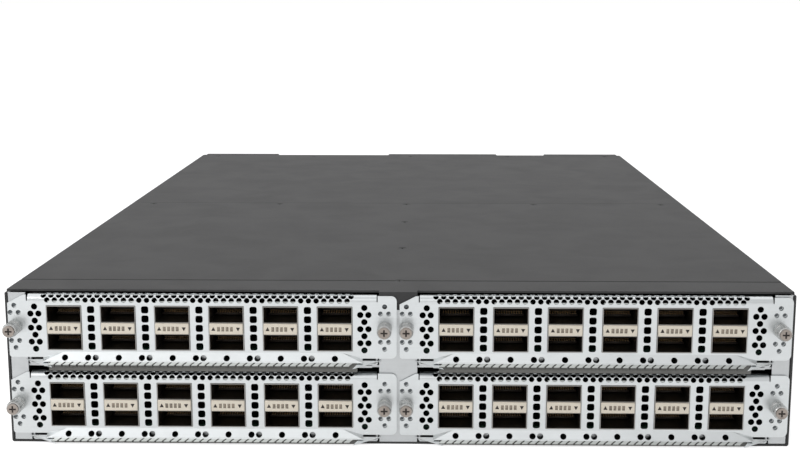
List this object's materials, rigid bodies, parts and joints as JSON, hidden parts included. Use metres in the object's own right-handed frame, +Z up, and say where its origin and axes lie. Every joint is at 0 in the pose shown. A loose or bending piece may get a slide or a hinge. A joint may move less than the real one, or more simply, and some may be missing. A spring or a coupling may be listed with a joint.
{
  "type": "modular chassis switch",
  "caption": "Rack-mount network switch chassis with pull-out port modules at the front, and fan trays, power supplies and a management panel at the rear.",
  "frame": {"origin": "middle of the chassis's underside", "axes": "+X to the right seen from the front, +Y from the front to the rear, +Z up"},
  "size_m": [0.44, 0.6983, 0.0881],
  "materials": {
    "dark_paint": "dark grey satin powder coat",
    "bright_plate": "bright zinc plating",
    "plated_rail": "plated sheet steel",
    "rear_plate": "plated sheet steel",
    "cage_steel": "nickel plated cage",
    "spring_steel": "spring finger strip",
    "screw_steel": "knurled steel",
    "light_bar": "moulded cream plastic",
    "board": "coated circuit board",
    "cast_fins": "extruded fins",
    "fan_plastic": "black moulded plastic",
    "latch_plastic": "dark moulded lever"
  },
  "bodies": {
    "chassis": {"chassis_tray": "dark_paint", "side_posts": "plated_rail", "centre_divider": "plated_rail", "slot_shelves": "plated_rail", "front_cover": "dark_paint", "rear_cover": "dark_paint", "midplane": "board", "switch_board": "board", "heat_sink": "cast_fins", "bay_frame": "plated_rail", "management_panel": "rear_plate"},
    "module_lower_left": {"faceplate_lower_left": "bright_plate", "module_tray_lower_left": "plated_rail", "module_board_lower_left": "board", "port_cages_lower_left": "cage_steel", "light_bars_lower_left": "light_bar", "gasket_lower_left": "spring_steel"},
    "screw_left_lower_left": {"screw_left_lower_left": "screw_steel"},
    "screw_right_lower_left": {"screw_right_lower_left": "screw_steel"},
    "module_lower_right": {"faceplate_lower_right": "bright_plate", "module_tray_lower_right": "plated_rail", "module_board_lower_right": "board", "port_cages_lower_right": "cage_steel", "light_bars_lower_right": "light_bar", "gasket_lower_right": "spring_steel"},
    "screw_left_lower_right": {"screw_left_lower_right": "screw_steel"},
    "screw_right_lower_right": {"screw_right_lower_right": "screw_steel"},
    "module_upper_left": {"faceplate_upper_left": "bright_plate", "module_tray_upper_left": "plated_rail", "module_board_upper_left": "board", "port_cages_upper_left": "cage_steel", "light_bars_upper_left": "light_bar", "gasket_upper_left": "spring_steel"},
    "screw_left_upper_left": {"screw_left_upper_left": "screw_steel"},
    "screw_right_upper_left": {"screw_right_upper_left": "screw_steel"},
    "module_upper_right": {"faceplate_upper_right": "bright_plate", "module_tray_upper_right": "plated_rail", "module_board_upper_right": "board", "port_cages_upper_right": "cage_steel", "light_bars_upper_right": "light_bar", "gasket_upper_right": "spring_steel"},
    "screw_left_upper_right": {"screw_left_upper_right": "screw_steel"},
    "screw_right_upper_right": {"screw_right_upper_right": "screw_steel"},
    "fan_tray_left": {"fan_tray_left": "rear_plate", "fan_housing_left": "fan_plastic"},
    "fan_rotor_left": {"fan_rotor_left": "fan_plastic"},
    "fan_screw_left": {"fan_screw_left": "screw_steel"},
    "fan_tray_right": {"fan_tray_right": "rear_plate", "fan_housing_right": "fan_plastic"},
    "fan_rotor_right": {"fan_rotor_right": "fan_plastic"},
    "fan_screw_right": {"fan_screw_right": "screw_steel"},
    "psu_lower_left": {"psu_case_lower_left": "rear_plate"},
    "psu_latch_lower_left": {"psu_latch_lower_left": "latch_plastic"},
    "psu_upper_left": {"psu_case_upper_left": "rear_plate"},
    "psu_latch_upper_left": {"psu_latch_upper_left": "latch_plastic"},
    "psu_lower_right": {"psu_case_lower_right": "rear_plate"},
    "psu_latch_lower_right": {"psu_latch_lower_right": "latch_plastic"},
    "psu_upper_right": {"psu_case_upper_right": "rear_plate"},
    "psu_latch_upper_right": {"psu_latch_upper_right": "latch_plastic"}
  },
  "joints": [
    {"name": "module_lower_left_slide", "type": "slide", "parent": "chassis", "child": "module_lower_left", "axis": [0, -1, 0], "range_m": [0, 0.33]},
    {"name": "screw_left_lower_left_turn", "type": "hinge", "parent": "module_lower_left", "child": "screw_left_lower_left", "pos_m": [-0.21465, -0.3312, 0.02325], "axis": [0, -1, 0], "continuous": true},
    {"name": "screw_right_lower_left_turn", "type": "hinge", "parent": "module_lower_left", "child": "screw_right_lower_left", "pos_m": [-0.00755, -0.3312, 0.02325], "axis": [0, -1, 0], "continuous": true},
    {"name": "module_lower_right_slide", "type": "slide", "parent": "chassis", "child": "module_lower_right", "axis": [0, -1, 0], "range_m": [0, 0.33]},
    {"name": "screw_left_lower_right_turn", "type": "hinge", "parent": "module_lower_right", "child": "screw_left_lower_right", "pos_m": [0.00455, -0.3312, 0.02325], "axis": [0, -1, 0], "continuous": true},
    {"name": "screw_right_lower_right_turn", "type": "hinge", "parent": "module_lower_right", "child": "screw_right_lower_right", "pos_m": [0.21165, -0.3312, 0.02325], "axis": [0, -1, 0], "continuous": true},
    {"name": "module_upper_left_slide", "type": "slide", "parent": "chassis", "child": "module_upper_left", "axis": [0, -1, 0], "range_m": [0, 0.33]},
    {"name": "screw_left_upper_left_turn", "type": "hinge", "parent": "module_upper_left", "child": "screw_left_upper_left", "pos_m": [-0.21465, -0.3312, 0.06775], "axis": [0, -1, 0], "continuous": true},
    {"name": "screw_right_upper_left_turn", "type": "hinge", "parent": "module_upper_left", "child": "screw_right_upper_left", "pos_m": [-0.00755, -0.3312, 0.06775], "axis": [0, -1, 0], "continuous": true},
    {"name": "module_upper_right_slide", "type": "slide", "parent": "chassis", "child": "module_upper_right", "axis": [0, -1, 0], "range_m": [0, 0.33]},
    {"name": "screw_left_upper_right_turn", "type": "hinge", "parent": "module_upper_right", "child": "screw_left_upper_right", "pos_m": [0.00455, -0.3312, 0.06775], "axis": [0, -1, 0], "continuous": true},
    {"name": "screw_right_upper_right_turn", "type": "hinge", "parent": "module_upper_right", "child": "screw_right_upper_right", "pos_m": [0.21165, -0.3312, 0.06775], "axis": [0, -1, 0], "continuous": true},
    {"name": "fan_tray_left_slide", "type": "slide", "parent": "chassis", "child": "fan_tray_left", "axis": [0, 1, 0], "range_m": [0, 0.075]},
    {"name": "fan_rotor_left_spin", "type": "hinge", "parent": "fan_tray_left", "child": "fan_rotor_left", "pos_m": [-0.08235, 0.329, 0.04405], "axis": [0, 1, 0], "continuous": true},
    {"name": "fan_screw_left_turn", "type": "hinge", "parent": "fan_tray_left", "child": "fan_screw_left", "pos_m": [-0.03535, 0.33, 0.0087], "axis": [0, 1, 0], "continuous": true},
    {"name": "fan_tray_right_slide", "type": "slide", "parent": "chassis", "child": "fan_tray_right", "axis": [0, 1, 0], "range_m": [0, 0.075]},
    {"name": "fan_rotor_right_spin", "type": "hinge", "parent": "fan_tray_right", "child": "fan_rotor_right", "pos_m": [0.03335, 0.329, 0.04405], "axis": [0, 1, 0], "continuous": true},
    {"name": "fan_screw_right_turn", "type": "hinge", "parent": "fan_tray_right", "child": "fan_screw_right", "pos_m": [0.08035, 0.33, 0.0087], "axis": [0, 1, 0], "continuous": true},
    {"name": "psu_lower_left_slide", "type": "slide", "parent": "chassis", "child": "psu_lower_left", "axis": [0, 1, 0], "range_m": [0, 0.205]},
    {"name": "psu_latch_lower_left_press", "type": "hinge", "parent": "psu_lower_left", "child": "psu_latch_lower_left", "pos_m": [-0.2148, 0.315, 0.02287], "axis": [0, 0, -1], "range_deg": [0, 7], "stiffness_Nm_per_rad": 0.05},
    {"name": "psu_upper_left_slide", "type": "slide", "parent": "chassis", "child": "psu_upper_left", "axis": [0, 1, 0], "range_m": [0, 0.205]},
    {"name": "psu_latch_upper_left_press", "type": "hinge", "parent": "psu_upper_left", "child": "psu_latch_upper_left", "pos_m": [-0.2148, 0.315, 0.06523], "axis": [0, 0, -1], "range_deg": [0, 7], "stiffness_Nm_per_rad": 0.05},
    {"name": "psu_lower_right_slide", "type": "slide", "parent": "chassis", "child": "psu_lower_right", "axis": [0, 1, 0], "range_m": [0, 0.205]},
    {"name": "psu_latch_lower_right_press", "type": "hinge", "parent": "psu_lower_right", "child": "psu_latch_lower_right", "pos_m": [0.1432, 0.315, 0.02287], "axis": [0, 0, -1], "range_deg": [0, 7], "stiffness_Nm_per_rad": 0.05},
    {"name": "psu_upper_right_slide", "type": "slide", "parent": "chassis", "child": "psu_upper_right", "axis": [0, 1, 0], "range_m": [0, 0.205]},
    {"name": "psu_latch_upper_right_press", "type": "hinge", "parent": "psu_upper_right", "child": "psu_latch_upper_right", "pos_m": [0.1432, 0.315, 0.06523], "axis": [0, 0, -1], "range_deg": [0, 7], "stiffness_Nm_per_rad": 0.05}
  ]
}
